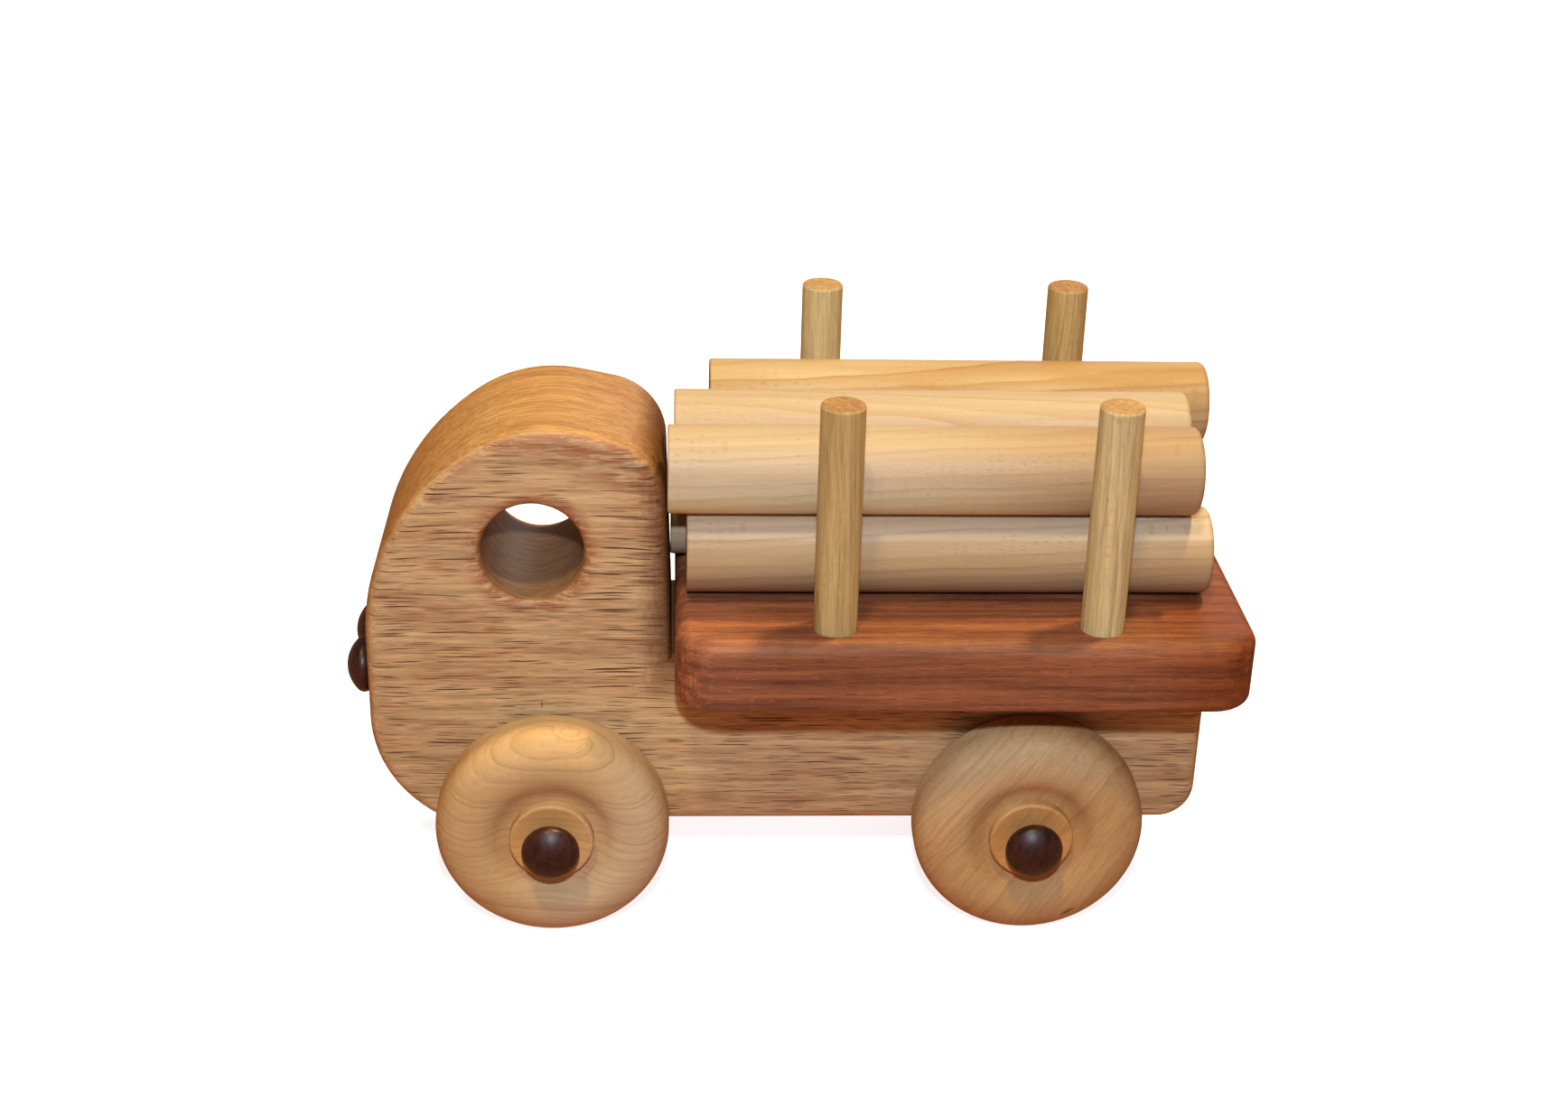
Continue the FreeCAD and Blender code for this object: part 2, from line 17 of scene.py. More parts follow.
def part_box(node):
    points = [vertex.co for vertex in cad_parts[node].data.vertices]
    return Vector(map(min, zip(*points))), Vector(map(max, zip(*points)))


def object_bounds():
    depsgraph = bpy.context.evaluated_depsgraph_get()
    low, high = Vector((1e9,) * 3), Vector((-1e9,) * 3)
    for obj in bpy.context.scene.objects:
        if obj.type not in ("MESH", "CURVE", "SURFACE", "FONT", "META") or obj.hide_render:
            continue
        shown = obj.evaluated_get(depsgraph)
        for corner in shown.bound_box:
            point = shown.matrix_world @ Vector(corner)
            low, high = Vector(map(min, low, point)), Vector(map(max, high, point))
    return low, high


MM = 0.001

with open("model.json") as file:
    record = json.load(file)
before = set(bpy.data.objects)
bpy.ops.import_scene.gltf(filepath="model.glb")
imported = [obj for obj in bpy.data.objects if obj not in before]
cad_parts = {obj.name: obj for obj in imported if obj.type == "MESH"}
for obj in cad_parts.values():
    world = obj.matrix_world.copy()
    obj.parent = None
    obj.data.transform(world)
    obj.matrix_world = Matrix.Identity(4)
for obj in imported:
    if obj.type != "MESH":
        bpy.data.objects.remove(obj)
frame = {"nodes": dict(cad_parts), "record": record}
cad_low, cad_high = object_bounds()
centre = (cad_low + cad_high) / 2


def mm(*lengths):
    return tuple(length * MM for length in lengths)


def past(start, *offsets):
    """Places along one axis, by their offsets from start in millimetres."""
    return tuple(start + offset for offset in mm(*offsets))


def tone(red, green, blue):
    """A screen colour, 0 to 255 a channel, as the linear colour of a shader, by the sRGB curve."""
    channels = [value / 255 for value in (red, green, blue)]
    return tuple(c / 12.92 if c < 0.04045 else ((c + 0.055) / 1.055) ** 2.4 for c in channels)


def middle_of(node):
    low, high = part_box(node)
    return (low + high) / 2


# ---------------------------------------------------------------- node trees


@dataclass(frozen=True)
class Cloud:
    """Noise from 0 to 1."""

    sizes: tuple  # about how long its lumps are along each axis
    detail: float = 2.0
    roughness: float = 0.5


@dataclass(frozen=True)
class Marks:
    """Tapered marks, one to a cell."""

    length: float  # of a cell
    width: float
    size: float  # reach of the largest mark, as a share of its cell
    strength: float


SMALLEST_MARK = 0.05
MARK_CHANCE = (0.1, 1.0)  # a cell's random number, from the smallest mark to the largest
MARK_EDGE = (0.0, 0.09)


class Nodes:
    """A node tree in the making. Each method adds nodes and gives back an output socket."""

    def __init__(self, tree):
        self.tree = tree

    def node(self, kind, inputs=None, **properties):
        """The node itself, with its properties set and its inputs fed."""
        made = self.tree.nodes.new(kind)
        for key, value in properties.items():
            setattr(made, key, value)
        for key, value in (inputs or {}).items():
            self.feed(made.inputs[key], value)
        return made

    def feed(self, socket, value):
        if isinstance(value, bpy.types.NodeSocket):
            self.tree.links.new(value, socket)
        elif socket.type == "RGBA":
            socket.default_value = (*value, 1.0)
        else:
            socket.default_value = value

    def math(self, operation, a, b=0.0, c=0.0):
        return self.node("ShaderNodeMath", {0: a, 1: b, 2: c}, operation=operation).outputs[0]

    def times(self, *values):
        product = values[0]
        for value in values[1:]:
            product = self.math("MULTIPLY", product, value)
        return product

    def plus(self, *values):
        total = values[0]
        for value in values[1:]:
            total = self.math("ADD", total, value)
        return total

    def vector(self, operation, a, b=(0.0, 0.0, 0.0)):
        return self.node("ShaderNodeVectorMath", {0: a, 1: b}, operation=operation).outputs[0]

    def length(self, x, y, z=0.0):
        joined = self.join(x, y, z)
        return self.node("ShaderNodeVectorMath", {0: joined}, operation="LENGTH").outputs["Value"]

    def split(self, vector):
        return self.node("ShaderNodeSeparateXYZ", {0: vector}).outputs

    def join(self, x, y, z):
        return self.node("ShaderNodeCombineXYZ", {0: x, 1: y, 2: z}).outputs[0]

    def turn(self, vector, angles):
        """The vector turned by angles in degrees."""
        radians = tuple(math.radians(angle) for angle in angles)
        inputs = {"Vector": vector, "Rotation": radians}
        return self.node("ShaderNodeMapping", inputs).outputs[0]

    def step(self, value, start, end, low=0.0, high=1.0):
        """A smooth climb from low to high as value goes from start to end."""
        inputs = {"Value": value, "From Min": start, "From Max": end, "To Min": low, "To Max": high}
        made = self.node("ShaderNodeMapRange", inputs, interpolation_type="SMOOTHSTEP")
        return made.outputs["Result"]

    def noise(self, vector, cloud):
        scaled = self.vector("MULTIPLY", vector, tuple(1 / size for size in cloud.sizes))
        inputs = {"Vector": scaled, "Scale": 1.0}
        inputs |= {"Detail": cloud.detail, "Roughness": cloud.roughness}
        return self.node("ShaderNodeTexNoise", inputs, noise_dimensions="3D").outputs["Fac"]

    def spindles(self, along, across, marks):
        """Marks in a plane: 1 inside a mark and 0 outside."""
        column = self.math("DIVIDE", along, marks.length)
        row = self.math("DIVIDE", across, marks.width)
        made = self.node(
            "ShaderNodeTexVoronoi",
            {"Vector": self.join(column, row, 0.0), "Scale": 1.0},
            feature="F1",
            voronoi_dimensions="2D",
        )
        chance = self.split(made.outputs["Color"])[0]
        reach = self.step(chance, *MARK_CHANCE, SMALLEST_MARK, marks.size)
        return self.step(self.math("SUBTRACT", reach, made.outputs["Distance"]), *MARK_EDGE)

    def mix(self, share, a, b, blend="MIX"):
        made = self.node("ShaderNodeMix", data_type="RGBA", blend_type=blend)
        colours = [socket for socket in made.inputs if socket.type == "RGBA"]
        self.feed(made.inputs[0], share)
        self.feed(colours[0], a)
        self.feed(colours[1], b)
        return next(socket for socket in made.outputs if socket.type == "RGBA")

    def tinted(self, share, colour, tint):
        return self.mix(share, colour, tint, "MULTIPLY")

    def scale(self, colour, factor):
        made = self.node("ShaderNodeVectorMath", {0: colour, "Scale": factor}, operation="SCALE")
        return made.outputs[0]

    def bump(self, height, depth):
        inputs = {"Strength": 1.0, "Distance": depth, "Height": height}
        return self.node("ShaderNodeBump", inputs).outputs[0]


class Shader(Nodes):
    """One material's node tree."""

    def __init__(self, name):
        self.material = bpy.data.materials.new(name)
        self.material.use_nodes = True
        super().__init__(self.material.node_tree)
        self.tree.nodes.clear()

    def finish(self, colour, roughness, normal, more):
        """Close the tree with its surface, and give back the material."""
        inputs = {"Base Color": colour, "Roughness": roughness, "Normal": normal, **more}
        made = self.node("ShaderNodeBsdfPrincipled", inputs).outputs[0]
        self.node("ShaderNodeOutputMaterial", {"Surface": made})
        return self.material


# ---------------------------------------------------------------- wood


@dataclass(frozen=True)
class Knot:
    place: tuple  # from the board's middle, with x along its grain
    reach: float
    lift: float  # how far it pushes the rings outwards


@dataclass(frozen=True)
class Wood:
    """A board's colours and figure. Shares and strengths go from 0 to 1."""

    light: tuple  # early wood, between the ring lines
    dark: tuple  # late wood, in the ring lines
    blush: tuple  # wide, soft zones along the grain
    ring: float  # ring spacing
    pith: tuple  # the tree's middle, across the grain from the board's middle
    fibre: float  # contrast of the fine streaks
    zone: float  # strength of the blush
    zone_size: tuple
    rough: tuple  # lowest and highest roughness
    end: tuple = (0.84, 0.70, 0.54)  # tint of the end grain, which drinks more finish
    line: float = 0.5  # strength of the ring lines
    sharp: float = 3.0  # how narrow the ring lines are
    lean: float = 0.0  # how fast the board's rings slope along the grain
    sway: float = 2.5 * MM  # how far the rings wander
    sway_length: float = 60 * MM
    knots: tuple = ()
    gloss: float = 0.3  # strength of the plain reflection
    coat: float = 0.0
    relief: float = 0.03 * MM


COAT_ROUGHNESS = 0.3
SEED_OFFSET = (0.731, 1.37, 2.113)  # how far a step of the seed moves a board through the noise

# Rings. Their wander and ripple are in shares of the wood's sway.
WANDER_ACROSS = mm(16, 16)
WANDER_SHARE = 2
RIPPLE = Cloud(mm(14, 6, 6))
RIPPLE_SHARE = 0.25
KNOT_STRETCH = (0.6, 1.0, 1.0)
SWELL_PACE = 0.45  # how fast good years and poor years follow each other
SWELL = 2.0  # how many rings they shift the count by
LINE_FALL = (0.93, 1.0, 1.0, 0.0)  # a line builds up slowly and ends at once
YEAR_STRENGTH = (0.0, 1.0, 0.3, 1.0)

# The figure between and over the rings.
FIBRES = Cloud(mm(9, 0.28, 0.28), 3.0, 0.6)
STREAKS = Cloud(mm(40, 1.4, 1.4), 3.0, 0.55)
MOTTLE = Cloud(mm(5, 1.6, 1.6), 3.0, 0.6)
FIBRE_SHARE = 0.55  # of the fine fibres against the streaks
SHADE_SPAN = (0.25, 0.75)
ZONE_EDGE = (0.35, 0.72)
FIBRE_HEIGHT = 0.5
LINE_HEIGHT = -0.25
END_FACING = (0.45, 0.95)
END_MOTTLE = (0.2, 0.8, 0.55, 1.0)
END_ROUGHNESS = 0.6
ROUGH_SPAN = (0.2, 1.1)


class Board(Shader):
    """A solid piece of wood, with its figure running right through it. X is along its grain."""

    def __init__(self, name, middle, angles=(0, 0, 0), roll=0.0, seed=1.0):
        super().__init__(name)
        self.middle = middle
        coordinates = self.node("ShaderNodeTexCoord").outputs
        self.point = coordinates["Object"]
        self.normal = coordinates["Normal"]
        from_middle = self.vector("SUBTRACT", self.point, tuple(middle))
        self.local = self.turn(self.turn(from_middle, angles), (roll, 0, 0))
        self.loose = self.vector("ADD", self.local, tuple(seed * step for step in SEED_OFFSET))
        turned = self.turn(self.turn(self.normal, angles), (roll, 0, 0))
        self.along = self.math("ABSOLUTE", self.split(turned)[0])

    def offset(self, place):
        """X, Y and Z from a place on the truck, along the truck's own axes."""
        return self.split(self.vector("SUBTRACT", self.point, tuple(place)))

    def sideways(self):
        """How squarely the surface faces the truck's left or right, from 0 to 1."""
        return self.math("ABSOLUTE", self.split(self.normal)[1])

    def rings(self, look):
        """Growth rings round the pith: 0 in the early wood, 1 on a ring line."""
        x, y, z = self.split(self.local)
        across = self.math("SUBTRACT", y, look.pith[0])
        up = self.math("SUBTRACT", z, look.pith[1])
        radius = self.plus(self.length(0.0, across, up), self.times(x, look.lean))
        wander = self.noise(self.loose, Cloud((look.sway_length, *WANDER_ACROSS)))
        ripple = self.noise(self.loose, RIPPLE)
        radius = self.plus(
            radius,
            self.times(wander, look.sway * WANDER_SHARE),
            self.times(ripple, look.sway * RIPPLE_SHARE),
        )
        for knot in look.knots:
            away = self.vector("SUBTRACT", self.local, knot.place)
            away = self.vector("MULTIPLY", away, KNOT_STRETCH)
            gap = self.length(*self.split(away))
            radius = self.plus(radius, self.step(gap, 0.0, knot.reach, knot.lift, 0.0))

        count = self.math("DIVIDE", radius, look.ring)
        inputs = {"W": count, "Scale": SWELL_PACE}
        swell = self.node("ShaderNodeTexNoise", inputs, noise_dimensions="1D").outputs["Fac"]
        count = self.plus(count, self.times(swell, SWELL))
        phase = self.math("FRACT", count)
        rise = self.math("POWER", phase, look.sharp)
        line = self.times(rise, self.step(phase, *LINE_FALL))
        inputs = {"W": self.math("FLOOR", count)}
        year = self.node("ShaderNodeTexWhiteNoise", inputs, noise_dimensions="1D").outputs["Value"]
        return self.times(line, self.step(year, *YEAR_STRENGTH))

    def dress(self, look, extras=()):
        """The wood's material. Each extra takes the colour and height and gives both back."""
        lines = self.rings(look)
        fibres = self.noise(self.loose, FIBRES)
        streaks = self.noise(self.loose, STREAKS)
        zones = self.noise(self.loose, Cloud(look.zone_size, detail=3.0, roughness=0.55))
        mottle = self.noise(self.loose, MOTTLE)

        colour = self.mix(self.times(lines, look.line), look.light, look.dark)
        colour = self.mix(self.times(self.step(zones, *ZONE_EDGE), look.zone), colour, look.blush)
        shade = self.plus(self.times(fibres, FIBRE_SHARE), self.times(streaks, 1 - FIBRE_SHARE))
        contrast = self.step(shade, *SHADE_SPAN, 1 - look.fibre, 1 + look.fibre)
        colour = self.scale(colour, contrast)
        height = self.plus(self.times(fibres, FIBRE_HEIGHT), self.times(lines, LINE_HEIGHT))

        ends = self.times(self.step(self.along, *END_FACING), self.step(mottle, *END_MOTTLE))
        colour = self.tinted(ends, colour, look.end)
        for extra in extras:
            colour, height = extra(self, colour, height)
        rough = self.plus(fibres, self.times(ends, END_ROUGHNESS))
        rough = self.step(rough, *ROUGH_SPAN, *look.rough)
        shine = {
            "Specular IOR Level": look.gloss,
            "Coat Weight": look.coat,
            "Coat Roughness": COAT_ROUGHNESS,
        }
        return self.finish(colour, rough, self.bump(height, look.relief), shine)


def put_on(node, material):
    for slot in frame["nodes"][node].material_slots:
        slot.material = material


# ---------------------------------------------------------------- cab and chassis block

OAK = Wood(
    light=tone(207, 169, 122),
    dark=tone(180, 132, 88),
    blush=tone(182, 132, 90),
    ring=3.0 * MM,
    line=0.35,
    pith=mm(160, 50),
    lean=0.02,
    fibre=0.44,
    zone=0.6,
    zone_size=mm(45, 6, 4),
    rough=(0.5, 0.65),
    relief=0.05 * MM,
)

WINDOW = next(mount for mount in frame["record"]["mounts"] if mount["name"] == "cab_window")
WINDOW_AXIS = Vector(WINDOW["pos_m"])
WINDOW_RADIUS = WINDOW["dims"]["r_mm"] * MM
BLOCK_FRONT, _, BLOCK_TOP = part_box("cab_chassis_block")[1]
# A name that ends in FACING is a ramp of how squarely the surface faces the truck's side.


def distance_from(board, place):
    """How far a point is, seen from the side, from a place on the block."""
    x, _, z = board.offset(place)
    return board.length(x, z)


PORE_TONE = tone(88, 46, 32)
PORES = (
    Marks(50 * MM, 1.5 * MM, 0.20, strength=1.0),
    Marks(34 * MM, 1.1 * MM, 0.20, strength=1.0),
    Marks(17 * MM, 0.8 * MM, 0.22, strength=0.8),
)
PORE_DEPTH = -1.4
PORE_SHIFT = 100 * MM  # keeps each size's pattern apart from the last one's
PORE_BEND = Cloud(mm(60, 8, 20), detail=1.0)
PORE_BEND_HEIGHT = 5.0 * MM
PORE_PATCHES = Cloud(mm(30, 9, 5))
PORE_PATCH_EDGE = (0.34, 0.58, 0.6, 1.0)
PORE_FACING = (0.62, 0.95)


def oak_pores(board, colour, height):
    """Open pores: dark tapered lines on the flat-sawn sides, none on the band round the top."""
    x, _, z = board.split(board.loose)
    side = board.step(board.sideways(), *PORE_FACING)
    bend = board.times(board.noise(board.loose, PORE_BEND), PORE_BEND_HEIGHT)
    across = board.plus(z, bend)
    patchy = board.step(board.noise(board.loose, PORE_PATCHES), *PORE_PATCH_EDGE)
    for number, pores in enumerate(PORES):
        marks = board.spindles(board.plus(x, number * PORE_SHIFT), across, pores)
        marks = board.times(marks, side, patchy)
        colour = board.mix(board.times(marks, pores.strength), colour, PORE_TONE)
        height = board.plus(height, board.times(marks, PORE_DEPTH * pores.strength))
    return colour, height


TOP_GOLD = (0.96, 0.82, 0.63)
# Painted shade: a darker tint over the roof's front and rear slopes, in broad patches.
ROOF_SHADE_TINT = (0.70, 0.54, 0.35)
TOP_FACING = (0.9, 0.45)
TOP_FINE = Cloud(mm(60, 0.5, 45), 3.0, 0.6)
TOP_BROAD = Cloud(mm(50, 2.2, 40), 3.0, 0.6)
TOP_FINE_SHARE = 0.6
TOP_CONTRAST = (0.34, 0.66, 0.70, 1.17)
ROOF_SHADE_REAR = past(WINDOW_AXIS.x, 15.6, -34.4)
ROOF_SHADE_FRONT = (*past(WINDOW_AXIS.x, 7.6, 49.6), 0.0, 0.6)
ROOF_SHADE_PATCHES = (0.25, 0.6, 0.5, 1.0)
ROOF_SHADE_STRENGTH = 0.8


def oak_top(board, colour, height):
    """The band round the top shows the layers on edge: golden, with fine lines that follow it.
    Painted shade darkens it in broad patches towards the roof's front and rear slopes.
    """
    band = board.step(board.sideways(), *TOP_FACING)
    fine = board.noise(board.point, TOP_FINE)
    broad = board.noise(board.point, TOP_BROAD)
    flow = board.plus(board.times(fine, TOP_FINE_SHARE), board.times(broad, 1 - TOP_FINE_SHARE))
    gold = board.scale(TOP_GOLD, board.step(flow, *TOP_CONTRAST))
    x = board.split(board.point)[0]
    roof_shade = board.math("MAXIMUM", board.step(x, *ROOF_SHADE_REAR), board.step(x, *ROOF_SHADE_FRONT))
    roof_shade = board.times(roof_shade, board.step(broad, *ROOF_SHADE_PATCHES))
    gold = board.mix(board.times(roof_shade, ROOF_SHADE_STRENGTH), gold, ROOF_SHADE_TINT)
    return board.tinted(band, colour, gold), height


BLUSH_TONE = tone(158, 88, 54)
BLUSH_STRENGTH = 0.8
BLUSH_STREAKS = Cloud(mm(9, 3, 1.3), 3.0, 0.6)
BLUSH_STREAK_EDGE = (0.36, 0.6)
BLUSH_PATCHES = Cloud(mm(30, 9, 7), 3.0, 0.6)
BLUSH_PATCH_EDGE = (0.5, 0.68, 0.0, 0.5)
FLAT_FACING = (0.5, 0.9)
BORE_FACING = (0.0, 0.3)  # leaves out the bore's own wall
CROWN = Vector((BLOCK_FRONT - 46 * MM, 0.0, BLOCK_TOP - 49 * MM))  # middle of the cab's top arcs
CROWN_REACH = mm(35, 47)
CROWN_HEIGHT = past(WINDOW_AXIS.z, -27.1, 2.9)
CROWN_STRENGTH = 0.9
WINDOW_RING = past(WINDOW_RADIUS, 7, 1.5)
DUST_TONE = tone(222, 184, 150)
DUST = Cloud(mm(1.2, 0.9, 0.7))
DUST_EDGE = (0.60, 0.70)
DUST_RIM = (1.0, 0.93)
DUST_FACING = (0.35, 0.6)
DUST_STRENGTH = 0.45


def oak_blush(board, colour, height):
    """Redder wood under the cab's rounded edge, round the window and in patches, and pale dust."""
    z = board.split(board.point)[2]
    facing = board.sideways()
    crown = board.step(distance_from(board, CROWN), *CROWN_REACH)
    crown = board.times(crown, board.step(z, *CROWN_HEIGHT), CROWN_STRENGTH)
    ring = board.step(distance_from(board, WINDOW_AXIS), *WINDOW_RING)
    patches = board.step(board.noise(board.loose, BLUSH_PATCHES), *BLUSH_PATCH_EDGE)
    streaks = board.step(board.noise(board.loose, BLUSH_STREAKS), *BLUSH_STREAK_EDGE)
    share = board.times(board.math("MAXIMUM", crown, patches), board.step(facing, *FLAT_FACING))
    share = board.math("MAXIMUM", share, board.times(ring, board.step(facing, *BORE_FACING)))
    colour = board.mix(board.times(share, streaks, BLUSH_STRENGTH), colour, BLUSH_TONE)

    rim = board.math("MAXIMUM", ring, board.step(facing, *DUST_RIM))
    dust = board.step(board.noise(board.point, DUST), *DUST_EDGE)
    dust = board.times(dust, rim, board.step(facing, *DUST_FACING), DUST_STRENGTH)
    return board.mix(dust, colour, DUST_TONE), height


BORE_WALL = past(WINDOW_RADIUS, 0.7, 0.1)
# Painted shade inside the window's bore.
BORE_SHADE_TONES = (tone(172, 126, 86), tone(140, 96, 64))
BORE_SHADE_CLOUD = Cloud(mm(6, 5, 6), 3.0)
DRILL_MARKS = Cloud(mm(7, 0.5, 7), 3.0, 0.65)
DRILL_CONTRAST = (0.3, 0.7, 0.6, 1.34)
DRILL_HEIGHT = 0.8
BORE_SHADE_STRENGTH = 0.9


def oak_window_shade_and_marks(board, colour, height):
    """The window's bore: painted shade, darker and greyer than the oak, over the drill's fine
    marks.
    """
    inside = board.step(distance_from(board, WINDOW_AXIS), *BORE_WALL)
    marks = board.noise(board.point, DRILL_MARKS)
    grey = board.mix(board.noise(board.point, BORE_SHADE_CLOUD), *BORE_SHADE_TONES)
    grey = board.scale(grey, board.step(marks, *DRILL_CONTRAST))
    height = board.plus(height, board.times(marks, inside, DRILL_HEIGHT))
    return board.mix(board.times(inside, BORE_SHADE_STRENGTH), colour, grey), height


# Painted shade along the cab's rounded back edge.
BACK_SHADE_TINT = (0.42, 0.34, 0.30)
BACK_SHADE_EDGE = past(WINDOW_AXIS.x, -25.9, -35.4)
BACK_SHADE_HEIGHT = past(WINDOW_AXIS.z, -56.1, -36.1)
BACK_SHADE_FLECKS = Cloud(mm(1.1, 3, 3.2), 3.0, 0.65)
BACK_SHADE_FLECK_REACH = 6 * MM


def oak_back_edge_shade(board, colour, height):
    """Painted shade on the rounded edge of the cab's back wall: darker, with ragged upright flecks.
    """
    x, _, z = board.split(board.point)
    flecks = board.noise(board.point, BACK_SHADE_FLECKS)
    place = board.plus(x, board.times(flecks, BACK_SHADE_FLECK_REACH))
    edge = board.times(board.step(place, *BACK_SHADE_EDGE), board.step(z, *BACK_SHADE_HEIGHT))
    return board.tinted(edge, colour, BACK_SHADE_TINT), height


@dataclass(frozen=True)
class Spot:
    """One small ragged mark on the block's left side."""

    place: Vector
    shrink: tuple  # scale of distances along X and Z: the mark is longer where it is under 1
    reach: float
    shade: tuple
    strength: float


FRONT_WHEEL = middle_of("wheel_front_left")
FRONT_WHEEL_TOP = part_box("wheel_front_left")[1].z
CHECK = Spot(
    place=Vector((FRONT_WHEEL.x + 3 * MM, 0.0, FRONT_WHEEL_TOP + 1.5 * MM)),
    shrink=(1.0, 0.3),
    reach=0.45 * MM,
    shade=tone(92, 56, 32),
    strength=0.8,
)
SWIRL = Spot(
    place=WINDOW_AXIS + Vector(mm(12.6, 0.0, -24.5)),
    shrink=(0.5, 1.0),
    reach=1.6 * MM,
    shade=tone(176, 96, 48),
    strength=0.6,
)
SPOT_RAGS = Cloud(mm(0.8, 0.8, 0.8))
SPOT_EDGE = (1.5, 0.7)  # in shares of its reach


def oak_marks(board, colour, height):
    """A short dark check above the front wheel, and a little orange swirl ahead of the window."""
    facing = board.step(board.split(board.normal)[1], *FLAT_FACING)
    for spot in (CHECK, SWIRL):
        x, _, z = board.offset(spot.place)
        gap = board.length(board.times(x, spot.shrink[0]), board.times(z, spot.shrink[1]))
        ragged = board.times(board.noise(board.point, SPOT_RAGS), spot.reach)
        start, end = (spot.reach * edge for edge in SPOT_EDGE)
        mark = board.step(board.plus(gap, ragged), start, end)
        colour = board.mix(board.times(mark, facing, spot.strength), colour, spot.shade)
    return colour, height


def paint_block():
    board = Board("oak_block", middle_of("cab_chassis_block"), seed=3)
    extras = (oak_blush, oak_pores, oak_top, oak_back_edge_shade, oak_window_shade_and_marks, oak_marks)
    put_on("cab_chassis_block", board.dress(OAK, extras))


# ---------------------------------------------------------------- bed

BED = Wood(
    light=tone(152, 90, 56),
    dark=tone(94, 50, 36),
    blush=tone(108, 58, 40),
    end=(0.95, 0.85, 0.75),
    ring=2.6 * MM,
    line=0.6,
    sharp=1.6,
    pith=mm(30, 90),
    zone=0.85,
    zone_size=mm(60, 4, 4),
    fibre=0.34,
    rough=(0.55, 0.7),
)

BED_DARK = Marks(10 * MM, 0.7 * MM, 0.24, strength=0.5)
BED_DARK_TONE = tone(76, 36, 26)
BED_DARK_DEPTH = -0.4
BED_PALE = Marks(6 * MM, 0.6 * MM, 0.2, strength=0.4)
BED_PALE_TONE = tone(190, 124, 88)
BED_PALE_SHIFT = mm(200, 300)  # along and across, apart from the dark ones' pattern
BED_STREAKS = Cloud(mm(70, 2.6, 2.6), 3.0, 0.6)
BED_STREAK_CONTRAST = (0.34, 0.66, 0.82, 1.17)
# Painted shade at the bed's rear end, and painted cool light over its front half.
BED_REAR_SHADE = past(cad_low.x, 39.2, 12.2)
BED_REAR_SHADE_TINT = (0.86, 0.66, 0.42)
BED_FRONT_LIGHT = past(centre.x, 0, 24)
BED_FRONT_LIGHT_TINT = (1.20, 1.26, 1.38)
BED_CORNER = (0.25, 0.75)
BED_UPRIGHT = Cloud(mm(0.4, 0.4, 9), 3.0, 0.65)
BED_UPRIGHT_EDGE = (0.36, 0.64)
BED_UPRIGHT_TINTS = ((0.80, 0.74, 0.68), (1.20, 1.16, 1.02))


def bed_grain(board, colour, height):
    """Dark and pale dashes along the grain, and upright lines where it runs out at the corners.
    Painted shade darkens the bed's rear end, and painted cool light brightens its front half.
    """
    x, y, z = board.split(board.loose)
    across = board.math("SUBTRACT", y, z)
    dark = board.spindles(x, across, BED_DARK)
    along_shift, across_shift = BED_PALE_SHIFT
    pale = board.spindles(board.plus(x, along_shift), board.plus(across, across_shift), BED_PALE)
    colour = board.mix(board.times(dark, BED_DARK.strength), colour, BED_DARK_TONE)
    colour = board.mix(board.times(pale, BED_PALE.strength), colour, BED_PALE_TONE)
    streaks = board.noise(board.loose, BED_STREAKS)
    colour = board.scale(colour, board.step(streaks, *BED_STREAK_CONTRAST))

    x = board.split(board.point)[0]
    colour = board.tinted(board.step(x, *BED_REAR_SHADE), colour, BED_REAR_SHADE_TINT)
    colour = board.tinted(board.step(x, *BED_FRONT_LIGHT), colour, BED_FRONT_LIGHT_TINT)
    upright = board.step(board.noise(board.point, BED_UPRIGHT), *BED_UPRIGHT_EDGE)
    tint = board.mix(upright, *BED_UPRIGHT_TINTS)
    colour = board.tinted(board.step(board.along, *BED_CORNER), colour, tint)
    return colour, board.plus(height, board.times(dark, BED_DARK_DEPTH))


def paint_bed():
    board = Board("bed_board", middle_of("flat_bed"), seed=5)
    put_on("flat_bed", board.dress(BED, (bed_grain,)))


# ---------------------------------------------------------------- stakes, logs and dowels

LOG = Wood(
    light=tone(198, 172, 144),
    dark=tone(184, 146, 104),
    blush=tone(192, 162, 124),
    end=(0.84, 0.68, 0.50),
    ring=3.4 * MM,
    line=0.85,
    sharp=2.6,
    pith=mm(20, -30),
    lean=0.05,
    sway=2.4 * MM,
    sway_length=70 * MM,
    fibre=0.07,
    zone=0.5,
    zone_size=mm(110, 9, 9),
    rough=(0.5, 0.62),
    relief=0.012 * MM,
)
YELLOW_LOG = replace(
    LOG,
    light=tone(200, 168, 124),
    dark=tone(162, 108, 56),
    blush=tone(180, 136, 82),
    line=1.0,
    zone=0.9,
    zone_size=mm(70, 12, 12),
)
GREY_LOG = replace(
    LOG,
    light=tone(204, 180, 150),
    dark=tone(176, 142, 108),
    blush=tone(188, 158, 124),
)
# wood of each log, and how far it is rolled, in degrees
LOGS = {
    "upper_left": (LOG, 0),
    "upper_middle": (LOG, 120),
    "upper_right": (YELLOW_LOG, 20),
    "lower_left": (GREY_LOG, 0),
    "lower_middle": (LOG, 70),
    "lower_right": (YELLOW_LOG, 170),
}

